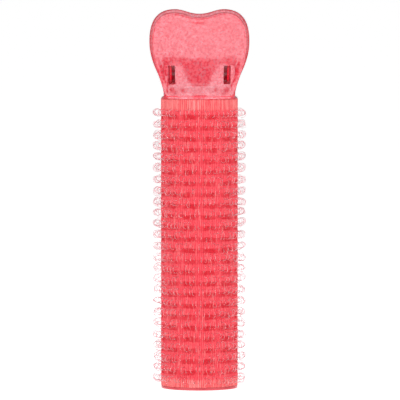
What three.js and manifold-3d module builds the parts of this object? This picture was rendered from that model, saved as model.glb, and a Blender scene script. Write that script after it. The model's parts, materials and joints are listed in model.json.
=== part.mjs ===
// Self-grip hair roller with a built-in spring clip.
// Millimetres, +Z up along the roller. The origin is on the barrel's axis at the bottom lip.
// -Y is the front, where the fixed thumb plate is; the moving lever is at the back, on +Y.
import * as THREE from 'three';
import { mergeVertices } from 'three/addons/utils/BufferGeometryUtils.js';
import Module from 'manifold-3d';

const wasm = await Module();
wasm.setup();

// ---- Driving dimensions ----
const CORE_OUTER_R = 12;
const CORE_WALL = 1.2;
const CORE_TOP = 94;
const LIP_R = 12.45;
const LIP_HEIGHT = 0.9;
const LIP_CHAMFER = 0.3;

const ROW_COUNT = 25;
const ROW_FIRST = 3.3;
const ROW_PITCH = 3.62;
const ROW_ROOT_R = 12.95;
const ROW_TIP_R = 15.1;
const ROW_ROOT_HEIGHT = 2;
const ROW_TIP_HEIGHT = 1.2;

const VENT_COLUMNS = 12;
const VENT_ROWS = 5;
const VENT_FIRST = 4.6;
const VENT_PITCH = 4.7 * ROW_PITCH;
const VENT_HEIGHT = 13.4;
const VENT_WIDTH = 3.8;

const TAPE_INNER_R = 12.25;
const TAPE_OUTER_R = 12.6;
const TAPE_BOTTOM = 1.2;
const TAPE_TOP = 94.1;

const COLLAR_R = 12.75;
const COLLAR_BOTTOM = 94.4;
const COLLAR_TOP = 95.5;
const PLUG_R = 10.45;
const PLUG_WALL = 1.5;
const PLUG_BOTTOM = 88.4;

const PLATE_THICKNESS = 1.8;
const PLATE_LAP = 0.3;
// Each thumb plate's outline: its top, and its half-widths at the widest point and at the neck.
const FRONT_OUTLINE = { top: 123.2, wide: 15.7, neck: 11.5 };
const REAR_OUTLINE = { top: 123.6, wide: 16.7, neck: 12 };
const FRONT_PLATE_BOTTOM = COLLAR_BOTTOM + PLATE_LAP;
const REAR_PLATE_BOTTOM = 99.2;
const REAR_RECESS_BOTTOM = 104;
const PLATE_WIDEST = 113;
const NECK_Z = 97;
const LOBE_X = 8.3;
const DIP_DEPTH = 1.53;

// How far the plate outline's curve handles reach from its neck, widest point, lobes and dip.
const NECK_HANDLE = { out: 0.6, up: 4 };
const WIDEST_HANDLE = { down: 7, out: 0.1, up: 6.8 };
const LOBE_HANDLE = { fromWidest: 2.5, in: 3 };
const DIP_HANDLE = 3.6;

const RIM_WIDTH = 1.15;
const RECESS_DEPTH = 0.6;

const LEAN_START = 98;
const LEAN_RADIUS = 42;
const LEAN = THREE.MathUtils.degToRad(18);
const FLATTEN_START = 96;
const FLATTEN_RATE = 1.54;
const FLATTEST_R = 46;

const HINGE_Z = 102.7;
const PIN_R = 1;
const PIN_HEAD_R = 1.7;
const PIN_HEAD = 0.7;
const PIN_CLEARANCE = 0.3;
const EAR_R = 2.9;
const EAR_BOTTOM = 99.5;
const EAR_TOP = 106;
const EAR_ROOT = 0.7;
const FRONT_EAR = { inner: 9.75, outer: 11.5 };
const REAR_EAR = { inner: 7.5, outer: 9.3 };

const SLOT_INNER = 8.25;
const SLOT_OUTER = 10.5;
const SLOT_BOTTOM = 99.7;
const SLOT_TOP = 105.8;
const SLOT_PAST_PLATE = 0.2;

const ARM_OUTER_R = 17.4;
const ARM_BOTTOM = 9;
const ARM_HALF_WIDTH = 7.6;
const ARM_TIP_HALF_WIDTH = 5.4;
const ARM_FLARE_START = 18;
const ARM_FLARE = 1;
const SHOULDER_BOTTOM = 96.5;
const SHOULDER_TOP = 106;
const SHOULDER_FLARE_START = 91;
const SHOULDER_HANDLE = 1;
const ARM_VENTS = 4;
const ARM_VENT_HALF_WIDTH = 2.2;
const ARM_VENT_LENGTH = 13.5;
const ARM_VENT_FIRST = 20;
const ARM_VENT_PITCH = 18;

const WIRE_R = 0.4;
const COIL_R = 2.4;
const COIL_TURNS = 6;
const COIL_HALF_LENGTH = 4.2;
const LEG_LEAN = THREE.MathUtils.degToRad(38);
const LEG_LENGTH = 17.4;
const LEG_TOE = 3.6;
const LEG_SHARES = [0.25, 0.5, 0.75];

// How finely the round shapes are divided.
const ROUND_STEPS = 36;
const ROW_STEPS = 24;
const PIN_STEPS = 16;
const OUTLINE_STEPS = 8;
const EAR_STEPS = 4;
const ARM_STEPS = 5;
const WIRE_STEPS = 3;
const COIL_STEPS = 12;
const SPRING_STEPS = 110;

// ---- Solids: join, cut and intersect closed meshes ----
function toSolid(geometry) {
  const bare = geometry.clone();
  bare.deleteAttribute('normal');
  bare.deleteAttribute('uv');
  const merged = mergeVertices(bare, WELD);
  return new wasm.Manifold(new wasm.Mesh({
    numProp: 3,
    vertProperties: merged.attributes.position.array,
    triVerts: new Uint32Array(merged.index.array),
  }));
}

function toGeometry(solid) {
  const mesh = solid.getMesh();
  const geometry = new THREE.BufferGeometry();
  geometry.setAttribute('position', new THREE.BufferAttribute(new Float32Array(mesh.vertProperties), 3));
  geometry.setIndex(new THREE.BufferAttribute(new Uint32Array(mesh.triVerts), 1));
  geometry.computeVertexNormals();
  return geometry;
}

// A lathe geometry turns about Y, so it is stood up to turn about Z. The profile is [radius, z] pairs.
function turned(profile, steps = ROUND_STEPS) {
  const points = [...profile, profile[0]].map(([r, z]) => new THREE.Vector2(r, z));
  const geometry = new THREE.LatheGeometry(points, steps);
  geometry.rotateX(Math.PI / 2);
  return geometry;
}

function block(x0, x1, y0, y1, z0, z1) {
  const geometry = new THREE.BoxGeometry(x1 - x0, y1 - y0, z1 - z0);
  geometry.translate((x0 + x1) / 2, (y0 + y1) / 2, (z0 + z1) / 2);
  return geometry;
}

// An outline in the XZ plane, extruded along Y between two depths.
function prism(shape, y0, y1, curveSegments = OUTLINE_STEPS) {
  const geometry = new THREE.ExtrudeGeometry(shape, { depth: y1 - y0, bevelEnabled: false, curveSegments });
  geometry.rotateX(Math.PI / 2);
  geometry.translate(0, y1, 0);
  return geometry;
}

// An outline in the YZ plane, extruded along X between two places.
function slab(shape, x0, x1, curveSegments) {
  const geometry = new THREE.ExtrudeGeometry(shape, { depth: x1 - x0, bevelEnabled: false, curveSegments });
  geometry.rotateX(Math.PI / 2);
  geometry.rotateZ(Math.PI / 2);
  geometry.translate(x0, 0, 0);
  return geometry;
}

function part(name, geometry, color, roughness = GLOSS_ROUGHNESS, metalness = 0) {
  const material = new THREE.MeshStandardMaterial({ color, roughness, metalness });
  const mesh = new THREE.Mesh(geometry, material);
  mesh.name = name;
  return mesh;
}

const CORAL = 0xf5525f;
const CORAL_GLOSS = 0xf4606b;
const TAPE_PINK = 0xee5a66;
const HOOK_PINK = 0xff8a94;
const STEEL = 0xc4c6ca;
const GLOSS_ROUGHNESS = 0.3;
const FABRIC_ROUGHNESS = 0.9;
const STEEL_ROUGHNESS = 0.28;

// Working sizes: how far the cutting shapes reach, and how much wider the bent sheets are than the plates.
const PLATE_REACH = 24;
const PAST_PIN = 8;
const SHEET_HALF_WIDTH = REAR_OUTLINE.wide + PLATE_THICKNESS;
const EAR_SPACE = FRONT_EAR.outer + 1.5;
const OVERLAP = 1;
const WELD = 1e-4;
const PIN_HOLE_REACH = 3 * FRONT_EAR.outer;

// ---- Thumb plate form: how far its outer face stands from the axis, and how round it is, at a height ----
function smooth(t) {
  const s = THREE.MathUtils.clamp(t, 0, 1);
  return s * s * (3 - 2 * s);
}

function leanOut(z) {
  const bendTop = LEAN_START + LEAN_RADIUS * Math.sin(LEAN);
  if (z <= LEAN_START) {
    return 0;
  }
  if (z < bendTop) {
    return LEAN_RADIUS - Math.sqrt(LEAN_RADIUS ** 2 - (z - LEAN_START) ** 2);
  }
  return LEAN_RADIUS * (1 - Math.cos(LEAN)) + (z - bendTop) * Math.tan(LEAN);
}

function roundness(z) {
  return Math.min(FLATTEST_R, TAPE_OUTER_R + FLATTEN_RATE * Math.max(0, z - FLATTEN_START));
}

function plateForm(z) {
  return { reach: TAPE_OUTER_R + leanOut(z), radius: roundness(z) };
}

// The rear lever follows the same plate, then steps out over the hooks and runs down beside them.
function leverForm(z) {
  const plate = plateForm(z);
  const blend = smooth((SHOULDER_TOP - z) / (SHOULDER_TOP - SHOULDER_BOTTOM));
  const flare = ARM_FLARE * smooth((ARM_FLARE_START - z) / (ARM_FLARE_START - ARM_BOTTOM));
  return {
    reach: plate.reach + (ARM_OUTER_R - plate.reach) * blend + flare,
    radius: plate.radius + (ARM_OUTER_R - plate.radius) * blend,
  };
}

// Half the angle that a form's arc turns through to reach a half-width. It stops at a half circle.
function halfAngle(radius, halfWidth) {
  return Math.asin(Math.min(1, halfWidth / radius));
}

function heights(from, to, steps) {
  return Array.from({ length: steps + 1 }, (_, i) => from + ((to - from) * i) / steps);
}

// The two curved walls: which side each is on, its form, the heights where it bends and its steps across.
const FRONT = {
  side: -1,
  form: plateForm,
  zs: heights(FRONT_PLATE_BOTTOM - OVERLAP, FRONT_OUTLINE.top + OVERLAP, 12),
  columns: 12,
};
const REAR = {
  side: 1,
  form: leverForm,
  zs: [
    ...heights(ARM_BOTTOM - OVERLAP, ARM_FLARE_START, 4),
    ...heights(ARM_FLARE_START, SHOULDER_BOTTOM, 2).slice(1),
    ...heights(SHOULDER_BOTTOM, SHOULDER_TOP, 6).slice(1),
    ...heights(SHOULDER_TOP, REAR_OUTLINE.top + OVERLAP, 6).slice(1),
  ],
  columns: 16,
};

// A curved sheet of a wall, between two depths below its outer face.
// With no deep value it is solid from that depth back past the hinge pin.
function sheet(wall, shallow, deep, halfWidth = SHEET_HALF_WIDTH) {
  const last = wall.zs.length - 1;
  const geometry = new THREE.BoxGeometry(2, 1, 1, wall.columns, 1, last);
  const position = geometry.attributes.position;
  for (let i = 0; i < position.count; i += 1) {
    const z = wall.zs[Math.round((position.getZ(i) + 0.5) * last)];
    const { reach, radius } = wall.form(z);
    const angle = position.getX(i) * halfAngle(radius, halfWidth);
    const outside = position.getY(i) * wall.side > 0;
    const solidBack = !outside && deep === undefined;
    const r = radius - (outside || solidBack ? shallow : deep);
    const bent = wall.side * (reach - radius + r * Math.cos(angle));
    position.setXYZ(i, r * Math.sin(angle), solidBack ? -wall.side * PAST_PIN : bent, z);
  }
  return toSolid(geometry);
}

// ---- Thumb plate outline: straight neck, flared sides, two rounded lobes with a shallow dip between ----
// inset draws the same outline that much further in, for the recessed face.
function plateOutline(outline, inset) {
  const wide = outline.wide - inset;
  const neck = outline.neck - inset;
  const crown = outline.top - inset;
  const dip = crown - DIP_DEPTH;
  const lobeOut = wide - LOBE_HANDLE.fromWidest;
  const waist = NECK_Z + NECK_HANDLE.up;
  const belowWidest = PLATE_WIDEST - WIDEST_HANDLE.down;
  const half = [
    [neck + NECK_HANDLE.out, waist, wide, belowWidest, wide, PLATE_WIDEST],
    [wide + WIDEST_HANDLE.out, PLATE_WIDEST + WIDEST_HANDLE.up, lobeOut, crown, LOBE_X, crown],
    [LOBE_X - LOBE_HANDLE.in, crown, DIP_HANDLE, dip, 0, dip],
  ];
  const shape = new THREE.Shape();
  shape.moveTo(neck, COLLAR_BOTTOM);
  shape.lineTo(neck, NECK_Z);
  half.forEach((curve) => shape.bezierCurveTo(...curve));
  const starts = [[neck, NECK_Z], [wide, PLATE_WIDEST], [LOBE_X, crown]];
  for (let i = half.length - 1; i >= 0; i -= 1) {
    const [ax, az, bx, bz] = half[i];
    const [endX, endZ] = starts[i];
    shape.bezierCurveTo(-bx, bz, -ax, az, -endX, endZ);
  }
  shape.lineTo(-neck, COLLAR_BOTTOM);
  shape.closePath();
  return shape;
}

// The space inside the plate outline, above a height.
function plateSpace(outline, bottom, inset = 0) {
  const space = toSolid(prism(plateOutline(outline, inset), -PLATE_REACH, PLATE_REACH));
  const top = outline.top + OVERLAP;
  const above = block(-PLATE_REACH, PLATE_REACH, -PLATE_REACH, PLATE_REACH, bottom, top);
  return space.intersect(toSolid(above));
}

// Two mirrored copies, one on each hand.
function mirroredPair(make) {
  return make(1).add(make(-1));
}

// Ear: a round boss about the pin, with a web that runs towards the plate at the given side.
function earShape(side) {
  const shape = new THREE.Shape();
  shape.moveTo(side * PLATE_REACH, EAR_BOTTOM);
  shape.lineTo(side * PLATE_REACH, EAR_TOP);
  shape.lineTo(0, HINGE_Z + EAR_R);
  shape.absarc(0, HINGE_Z, EAR_R, Math.PI / 2, -Math.PI / 2, side < 0);
  shape.closePath();
  return shape;
}

function ears(wall, ear) {
  const pair = mirroredPair((hand) => {
    const [x0, x1] = hand > 0 ? [ear.inner, ear.outer] : [-ear.outer, -ear.inner];
    return toSolid(slab(earShape(wall.side), x0, x1, EAR_STEPS));
  });
  return pair.intersect(sheet(wall, PLATE_THICKNESS - EAR_ROOT, undefined, EAR_SPACE));
}

function pinHole() {
  const radius = PIN_R + PIN_CLEARANCE;
  const bore = new THREE.CylinderGeometry(radius, radius, PIN_HOLE_REACH, PIN_STEPS);
  bore.rotateZ(Math.PI / 2);
  bore.translate(0, 0, HINGE_Z);
  return toSolid(bore);
}

// Slots that go through the front plate beside each ear, and only just deeper than the plate.
function plateSlots() {
  const slots = mirroredPair((hand) => {
    const [x0, x1] = hand > 0 ? [SLOT_INNER, SLOT_OUTER] : [-SLOT_OUTER, -SLOT_INNER];
    return toSolid(block(x0, x1, -PLATE_REACH, 0, SLOT_BOTTOM, SLOT_TOP));
  });
  return slots.intersect(sheet(FRONT, -OVERLAP, PLATE_THICKNESS + SLOT_PAST_PLATE));
}

// The layer that the recessed face takes off a wall inside the plate's rim.
function recess(wall, outline, bottom) {
  return sheet(wall, -OVERLAP, RECESS_DEPTH).intersect(plateSpace(outline, bottom, RIM_WIDTH));
}

// ---- Barrel core: vented tube with a lip at the bottom ----
function barrelCore() {
  const inner = CORE_OUTER_R - CORE_WALL;
  let core = toSolid(turned([
    [inner, 0],
    [LIP_R - LIP_CHAMFER, 0],
    [LIP_R, LIP_CHAMFER],
    [LIP_R, LIP_HEIGHT],
    [CORE_OUTER_R, LIP_HEIGHT],
    [CORE_OUTER_R, CORE_TOP],
    [inner, CORE_TOP],
  ]));
  for (let row = 0; row < VENT_ROWS; row += 1) {
    const z0 = VENT_FIRST + row * VENT_PITCH;
    for (let column = 0; column < VENT_COLUMNS; column += 1) {
      const [x0, x1] = [inner - OVERLAP, CORE_OUTER_R + OVERLAP];
      const vent = block(x0, x1, -VENT_WIDTH / 2, VENT_WIDTH / 2, z0, z0 + VENT_HEIGHT);
      vent.rotateZ(((column + 0.5) / VENT_COLUMNS) * 2 * Math.PI);
      core = core.subtract(toSolid(vent));
    }
  }
  return toGeometry(core);
}

// ---- Hook tape: a woven backing wrapped round the core, and its rows of hooks ----
function tapeBacking() {
  return turned([
    [TAPE_INNER_R, TAPE_BOTTOM],
    [TAPE_OUTER_R, TAPE_BOTTOM],
    [TAPE_OUTER_R, TAPE_TOP],
    [TAPE_INNER_R, TAPE_TOP],
  ]);
}

// One row of hooks fills a ring that is wider at the roots than at the tips.
function hookRow() {
  return turned([
    [ROW_ROOT_R, -ROW_ROOT_HEIGHT / 2],
    [ROW_TIP_R, -ROW_TIP_HEIGHT / 2],
    [ROW_TIP_R, ROW_TIP_HEIGHT / 2],
    [ROW_ROOT_R, ROW_ROOT_HEIGHT / 2],
  ], ROW_STEPS);
}

// ---- Clip head: plug and collar in the barrel's top, the fixed front thumb plate and its two ears ----
function clipHead() {
  const plugInner = PLUG_R - PLUG_WALL;
  const collar = toSolid(turned([
    [plugInner, PLUG_BOTTOM],
    [PLUG_R, PLUG_BOTTOM],
    [PLUG_R, COLLAR_BOTTOM],
    [COLLAR_R, COLLAR_BOTTOM],
    [COLLAR_R, COLLAR_TOP],
    [plugInner, COLLAR_TOP],
  ]));
  const head = sheet(FRONT, 0, PLATE_THICKNESS)
    .intersect(plateSpace(FRONT_OUTLINE, FRONT_PLATE_BOTTOM))
    .subtract(recess(FRONT, FRONT_OUTLINE, COLLAR_TOP))
    .add(collar)
    .add(ears(FRONT, FRONT_EAR))
    .subtract(plateSlots())
    .subtract(pinHole());
  return toGeometry(head);
}

// ---- Clip lever: the rear thumb plate, its two ears and the arm that holds the hair on the barrel ----
function armOutline() {
  const tip = ARM_BOTTOM + ARM_TIP_HALF_WIDTH;
  const side = ARM_HALF_WIDTH;
  const { neck } = REAR_OUTLINE;
  const join = REAR_PLATE_BOTTOM;
  const shape = new THREE.Shape();
  shape.moveTo(ARM_TIP_HALF_WIDTH, tip);
  shape.lineTo(side, SHOULDER_FLARE_START);
  shape.bezierCurveTo(side, NECK_Z, neck - SHOULDER_HANDLE, NECK_Z, neck, join);
  shape.lineTo(neck, join + OVERLAP);
  shape.lineTo(-neck, join + OVERLAP);
  shape.lineTo(-neck, join);
  shape.bezierCurveTo(SHOULDER_HANDLE - neck, NECK_Z, -side, NECK_Z, -side, SHOULDER_FLARE_START);
  shape.lineTo(-ARM_TIP_HALF_WIDTH, tip);
  shape.absarc(0, tip, ARM_TIP_HALF_WIDTH, Math.PI, 2 * Math.PI, false);
  shape.closePath();
  for (let i = 0; i < ARM_VENTS; i += 1) {
    const low = ARM_VENT_FIRST + i * ARM_VENT_PITCH + ARM_VENT_HALF_WIDTH;
    const high = low + ARM_VENT_LENGTH - 2 * ARM_VENT_HALF_WIDTH;
    const vent = new THREE.Path();
    vent.absarc(0, low, ARM_VENT_HALF_WIDTH, Math.PI, 2 * Math.PI, false);
    vent.absarc(0, high, ARM_VENT_HALF_WIDTH, 0, Math.PI, false);
    vent.closePath();
    shape.holes.push(vent);
  }
  return shape;
}

function clipLever() {
  const plate = plateSpace(REAR_OUTLINE, REAR_PLATE_BOTTOM);
  const arm = toSolid(prism(armOutline(), -PLATE_REACH, PLATE_REACH, ARM_STEPS));
  const lever = sheet(REAR, 0, PLATE_THICKNESS)
    .intersect(plate.add(arm))
    .subtract(recess(REAR, REAR_OUTLINE, REAR_RECESS_BOTTOM))
    .add(ears(REAR, REAR_EAR))
    .subtract(pinHole());
  return toGeometry(lever);
}

// ---- Hinge pin: a steel axle with a flat head at each end ----
function hingePin() {
  const shank = FRONT_EAR.outer + PIN_CLEARANCE;
  const end = shank + PIN_HEAD;
  const pin = new THREE.LatheGeometry([
    new THREE.Vector2(0, -end),
    new THREE.Vector2(PIN_HEAD_R, -end),
    new THREE.Vector2(PIN_HEAD_R, -shank),
    new THREE.Vector2(PIN_R, -shank),
    new THREE.Vector2(PIN_R, shank),
    new THREE.Vector2(PIN_HEAD_R, shank),
    new THREE.Vector2(PIN_HEAD_R, end),
    new THREE.Vector2(0, end),
  ], PIN_STEPS);
  pin.rotateZ(-Math.PI / 2);
  pin.translate(0, 0, HINGE_Z);
  return pin;
}

// ---- Torsion spring: a coil round the pin with one leg up each thumb plate ----
function springPath() {
  const along = (side, length, toe) => {
    const x = side * COIL_HALF_LENGTH;
    const y = side * (COIL_R * Math.cos(LEG_LEAN) + length * Math.sin(LEG_LEAN) + toe * Math.sin(LEAN));
    const z = HINGE_Z - COIL_R * Math.sin(LEG_LEAN) + length * Math.cos(LEG_LEAN) + toe * Math.cos(LEAN);
    return new THREE.Vector3(x, y, z);
  };
  const legStops = LEG_SHARES.map((share) => share * LEG_LENGTH);
  const points = [along(-1, LEG_LENGTH, LEG_TOE), along(-1, LEG_LENGTH, 0)];
  points.push(...[...legStops].reverse().map((length) => along(-1, length, 0)));
  const turn = COIL_TURNS * 2 * Math.PI + Math.PI - 2 * LEG_LEAN;
  const steps = COIL_TURNS * COIL_STEPS;
  for (let i = 0; i <= steps; i += 1) {
    const angle = Math.PI + LEG_LEAN + (turn * i) / steps;
    const x = COIL_HALF_LENGTH * ((2 * i) / steps - 1);
    points.push(new THREE.Vector3(x, COIL_R * Math.cos(angle), HINGE_Z + COIL_R * Math.sin(angle)));
  }
  points.push(...legStops.map((length) => along(1, length, 0)));
  points.push(along(1, LEG_LENGTH, 0), along(1, LEG_LENGTH, LEG_TOE));
  return new THREE.CatmullRomCurve3(points, false, 'centripetal');
}

function torsionSpring() {
  const wire = new THREE.Shape();
  wire.absarc(0, 0, WIRE_R, 0, 2 * Math.PI, false);
  return new THREE.ExtrudeGeometry(wire, {
    steps: SPRING_STEPS,
    curveSegments: WIRE_STEPS,
    extrudePath: springPath(),
  });
}

// ---- The roller ----
const roller = new THREE.Group();
roller.add(part('barrel_core', barrelCore(), CORAL));
roller.add(part('tape_backing', tapeBacking(), TAPE_PINK, FABRIC_ROUGHNESS));
for (let row = 0; row < ROW_COUNT; row += 1) {
  const name = `hook_row_${String(row + 1).padStart(2, '0')}`;
  const ring = part(name, hookRow(), HOOK_PINK, FABRIC_ROUGHNESS);
  ring.position.z = ROW_FIRST + row * ROW_PITCH;
  roller.add(ring);
}
roller.add(part('clip_head', clipHead(), CORAL_GLOSS));
roller.add(part('hinge_pin', hingePin(), STEEL, STEEL_ROUGHNESS, 1));
roller.add(part('torsion_spring', torsionSpring(), STEEL, STEEL_ROUGHNESS, 1));

const lever = new THREE.Group();
lever.add(part('clip_lever', clipLever(), CORAL_GLOSS));
roller.add(lever);

export default roller;
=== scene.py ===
import json
import math

import bpy
import numpy as np
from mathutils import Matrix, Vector


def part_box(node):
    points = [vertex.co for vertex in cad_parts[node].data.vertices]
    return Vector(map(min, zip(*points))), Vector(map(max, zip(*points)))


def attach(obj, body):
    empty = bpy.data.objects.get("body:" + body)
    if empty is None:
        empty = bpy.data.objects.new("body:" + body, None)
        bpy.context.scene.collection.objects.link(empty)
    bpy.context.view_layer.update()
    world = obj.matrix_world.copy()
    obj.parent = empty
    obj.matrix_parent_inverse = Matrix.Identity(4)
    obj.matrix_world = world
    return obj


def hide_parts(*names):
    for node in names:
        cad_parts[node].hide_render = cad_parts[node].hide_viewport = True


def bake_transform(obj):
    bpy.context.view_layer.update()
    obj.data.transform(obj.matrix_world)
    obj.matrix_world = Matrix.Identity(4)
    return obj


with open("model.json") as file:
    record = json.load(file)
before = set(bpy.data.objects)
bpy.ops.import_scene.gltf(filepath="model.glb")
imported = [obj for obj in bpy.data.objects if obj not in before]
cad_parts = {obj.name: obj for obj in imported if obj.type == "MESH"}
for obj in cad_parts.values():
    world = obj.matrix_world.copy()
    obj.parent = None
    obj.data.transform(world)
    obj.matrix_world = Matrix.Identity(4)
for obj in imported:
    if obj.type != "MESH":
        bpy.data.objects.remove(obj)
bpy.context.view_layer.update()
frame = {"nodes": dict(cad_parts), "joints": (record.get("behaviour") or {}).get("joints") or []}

MM = 0.001
TURN = 2 * math.pi
SHARP_ANGLE = 35


def box(node):
    """A CAD node's lowest and highest corners, in millimetres."""
    low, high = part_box(node)
    return Vector(low) / MM, Vector(high) / MM


# ---- Sizes that come from the frame ----
CORE_LOW, CORE_HIGH = box("barrel_core")
TAPE_LOW, TAPE_HIGH = box("tape_backing")
HEAD_LOW, HEAD_HIGH = box("clip_head")
LEVER_LOW, LEVER_HIGH = box("clip_lever")
PIN_LOW, PIN_HIGH = box("hinge_pin")
ROWS = sorted(name for name in frame["nodes"] if name.startswith("hook_row_"))
ROW_Z = [(box(name)[0].z + box(name)[1].z) / 2 for name in ROWS]
ROW_PITCH = (ROW_Z[-1] - ROW_Z[0]) / (len(ROW_Z) - 1)
HOOK_TIP_R = box(ROWS[0])[1].x
HINGE_Z = frame["joints"][0]["pos_m"][2] / MM

# ---- Driving sizes: the CAD model's, but for a wider front neck and a slimmer collar ----
TAPE_R = TAPE_HIGH.x
PLATE_THICKNESS = 1.8
FRONT_PLATE_BOTTOM = 94.95
REAR_PLATE_JOIN = 99.2
REAR_RECESS_BOTTOM = 104
PLATE_WIDEST = 113
FRONT_WIDE = HEAD_HIGH.x
REAR_WIDE = LEVER_HIGH.x
FRONT_NECK = 12
REAR_NECK = 12
LOBE_SHOULDER = 2.5
NECK_Z = 97
LOBE_X = 8.3
DIP_DEPTH = 1.53
LEAN_START = 98
LEAN_RADIUS = 42
LEAN = math.radians(18)
FLATTEN_START = 96
FLATTEN_RATE = 1.54
FLATTEN_EASE = 1.5
FLATTEST_R = 46
FLATTEST_EASE = 7.0
ARM_R = 17.4
ARM_HALF_WIDTH = 7.6
ARM_TIP_R = 5.4
ARM_FLARE_START = 18
ARM_FLARE = 1
SHOULDER_BOTTOM = 96.5
SHOULDER_TOP = 106
SHOULDER_FLARE_START = 91
COLLAR_SHOULDER_R = 12.1
COLLAR_TOP = 95.5
PLUG_R = 10.45
PLUG_WALL = 1.5


# ---- Small tools ----
def smooth(t):
    s = np.clip(t, 0, 1)
    return s * s * (3 - 2 * s)


def soft_above(value, blur):
    """max(0, value) with its corner rounded over blur on each side."""
    inside = (value + blur) ** 2 / (4 * blur)
    return np.where(np.abs(value) < blur, inside, np.maximum(0, value))


def soft_least(a, b, blur):
    return a - soft_above(a - b, blur)


def bezier(start, handle_a, handle_b, end, steps):
    """Points along a cubic curve, without its first one."""
    t = np.linspace(0, 1, steps + 1)[1:, None]
    points = [np.array(p, float) for p in (start, handle_a, handle_b, end)]
    weights = [(1 - t) ** 3, 3 * t * (1 - t) ** 2, 3 * t * t * (1 - t), t**3]
    return sum(w * p for w, p in zip(weights, points))


def make_piece(name, points, faces, material, sharp_angle=None):
    mesh = bpy.data.meshes.new(name)
    mesh.from_pydata((np.asarray(points, float) * MM).tolist(), [], faces)
    mesh.update()
    mesh.validate()
    mesh.polygons.foreach_set("use_smooth", [True] * len(mesh.polygons))
    if sharp_angle is not None:
        mesh.set_sharp_from_angle(angle=math.radians(sharp_angle))
    piece = bpy.data.objects.new(name, mesh)
    bpy.context.scene.collection.objects.link(piece)
    if material is not None:
        mesh.materials.append(material)
    return piece


def combine(target, others, operation):
    """Joins or cuts target with closed meshes, which are used up."""
    for other in others:
        modifier = target.modifiers.new("combine", "BOOLEAN")
        modifier.solver = "MANIFOLD"
        modifier.operation = operation
        modifier.object = other
    evaluated = target.evaluated_get(bpy.context.evaluated_depsgraph_get())
    mesh = bpy.data.meshes.new_from_object(evaluated)
    target.modifiers.clear()
    old = target.data
    target.data = mesh
    bpy.data.meshes.remove(old)
    mesh.polygons.foreach_set("use_smooth", [True] * len(mesh.polygons))
    mesh.set_sharp_from_angle(angle=math.radians(SHARP_ANGLE))
    for other in others:
        data = other.data
        bpy.data.objects.remove(other)
        bpy.data.meshes.remove(data)


def loft(name, rings, material=None):
    """A closed mesh through rings of points, with a fan over each end."""
    rings = [np.asarray(ring, float) for ring in rings]
    count = len(rings[0])
    points = np.vstack(rings + [rings[0].mean(axis=0), rings[-1].mean(axis=0)])
    faces = []
    for level in range(len(rings) - 1):
        a = level * count
        for i in range(count):
            j = (i + 1) % count
            faces.append((a + i, a + j, a + count + j, a + count + i))
    first, last = len(points) - 2, len(points) - 1
    top = (len(rings) - 1) * count
    for i in range(count):
        j = (i + 1) % count
        faces.append((first, j, i))
        faces.append((last, top + i, top + j))
    piece = make_piece(name, points, faces, material)
    turn_outward(piece.data)
    return piece


def turn_outward(mesh):
    """Flips a closed mesh whose faces point in."""
    co = np.array([v.co for v in mesh.vertices])
    mesh.calc_loop_triangles()
    tri = np.array([t.vertices for t in mesh.loop_triangles])
    a, b, c = (co[tri[:, k]] for k in range(3))
    if (a * np.cross(b, c)).sum() < 0:
        mesh.flip_normals()


def turned(name, profile, steps, material=None):
    """A closed ring or solid of revolution about Z. profile is [radius, z] pairs, in a loop."""
    profile = np.array(profile, float)
    angles = np.arange(steps) * TURN / steps
    across = np.stack([np.cos(angles), np.sin(angles)], axis=1)
    points = []
    for radius, z in profile:
        points.append(np.column_stack([across * radius, np.full(steps, z)]))
    count = len(profile)
    faces = []
    for k in range(count):
        a, b = k * steps, ((k + 1) % count) * steps
        for i in range(steps):
            j = (i + 1) % steps
            faces.append((a + i, a + j, b + j, b + i))
    piece = make_piece(name, np.vstack(points), faces, material, SHARP_ANGLE)
    turn_outward(piece.data)
    return piece


def rounded(corners, radius, steps=4):
    """A closed profile with each corner rounded by up to radius, or by its own third value."""
    limits = [c[2] if len(c) > 2 else radius for c in corners]
    corners = [np.array(c[:2], float) for c in corners]
    path = []
    for i, corner in enumerate(corners):
        before = corners[i - 1] - corner
        after = corners[(i + 1) % len(corners)] - corner
        reach = min(limits[i], np.linalg.norm(before) / 2.2, np.linalg.norm(after) / 2.2)
        start = corner + before / np.linalg.norm(before) * reach
        end = corner + after / np.linalg.norm(after) * reach
        for t in np.linspace(0, 1, steps + 1):
            path.append((1 - t) ** 2 * start + 2 * t * (1 - t) * corner + t * t * end)
    return path


# ---- Materials ----
def node(tree, kind, inputs=(), **settings):
    """Adds a node. inputs gives a value or a socket to link for each named or numbered input."""
    made = tree.nodes.new(kind)
    for key, value in settings.items():
        setattr(made, key, value)
    for key, value in dict(inputs).items():
        if isinstance(value, bpy.types.NodeSocket):
            tree.links.new(value, made.inputs[key])
        else:
            made.inputs[key].default_value = value
    return made


def maths(tree, operation, *values):
    return node(tree, "ShaderNodeMath", dict(enumerate(values)), operation=operation).outputs[0]


def ramp(tree, value, low, high, start=0.0, end=1.0):
    """value from low to high becomes start to end, eased and held at both."""
    made = node(
        tree,
        "ShaderNodeMapRange",
        {"Value": value, "From Min": low, "From Max": high, "To Min": start, "To Max": end},
        interpolation_type="SMOOTHSTEP",
    )
    return made.outputs["Result"]


def mix(tree, share, a, b):
    made = node(tree, "ShaderNodeMix", {0: share, 6: a, 7: b}, data_type="RGBA")
    return made.outputs[2]


def noise(tree, place, size, detail=2.0):
    """Noise with features of a size in millimetres, from 0 to 1."""
    inputs = {"Vector": place, "Scale": 1 / (size * MM), "Detail": detail}
    return node(tree, "ShaderNodeTexNoise", inputs).outputs[0]


def bump(tree, height, distance, strength=1.0, normal=None):
    inputs = {"Height": height, "Distance": distance * MM, "Strength": strength}
    if normal is not None:
        inputs["Normal"] = normal
    return node(tree, "ShaderNodeBump", inputs).outputs[0]


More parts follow.
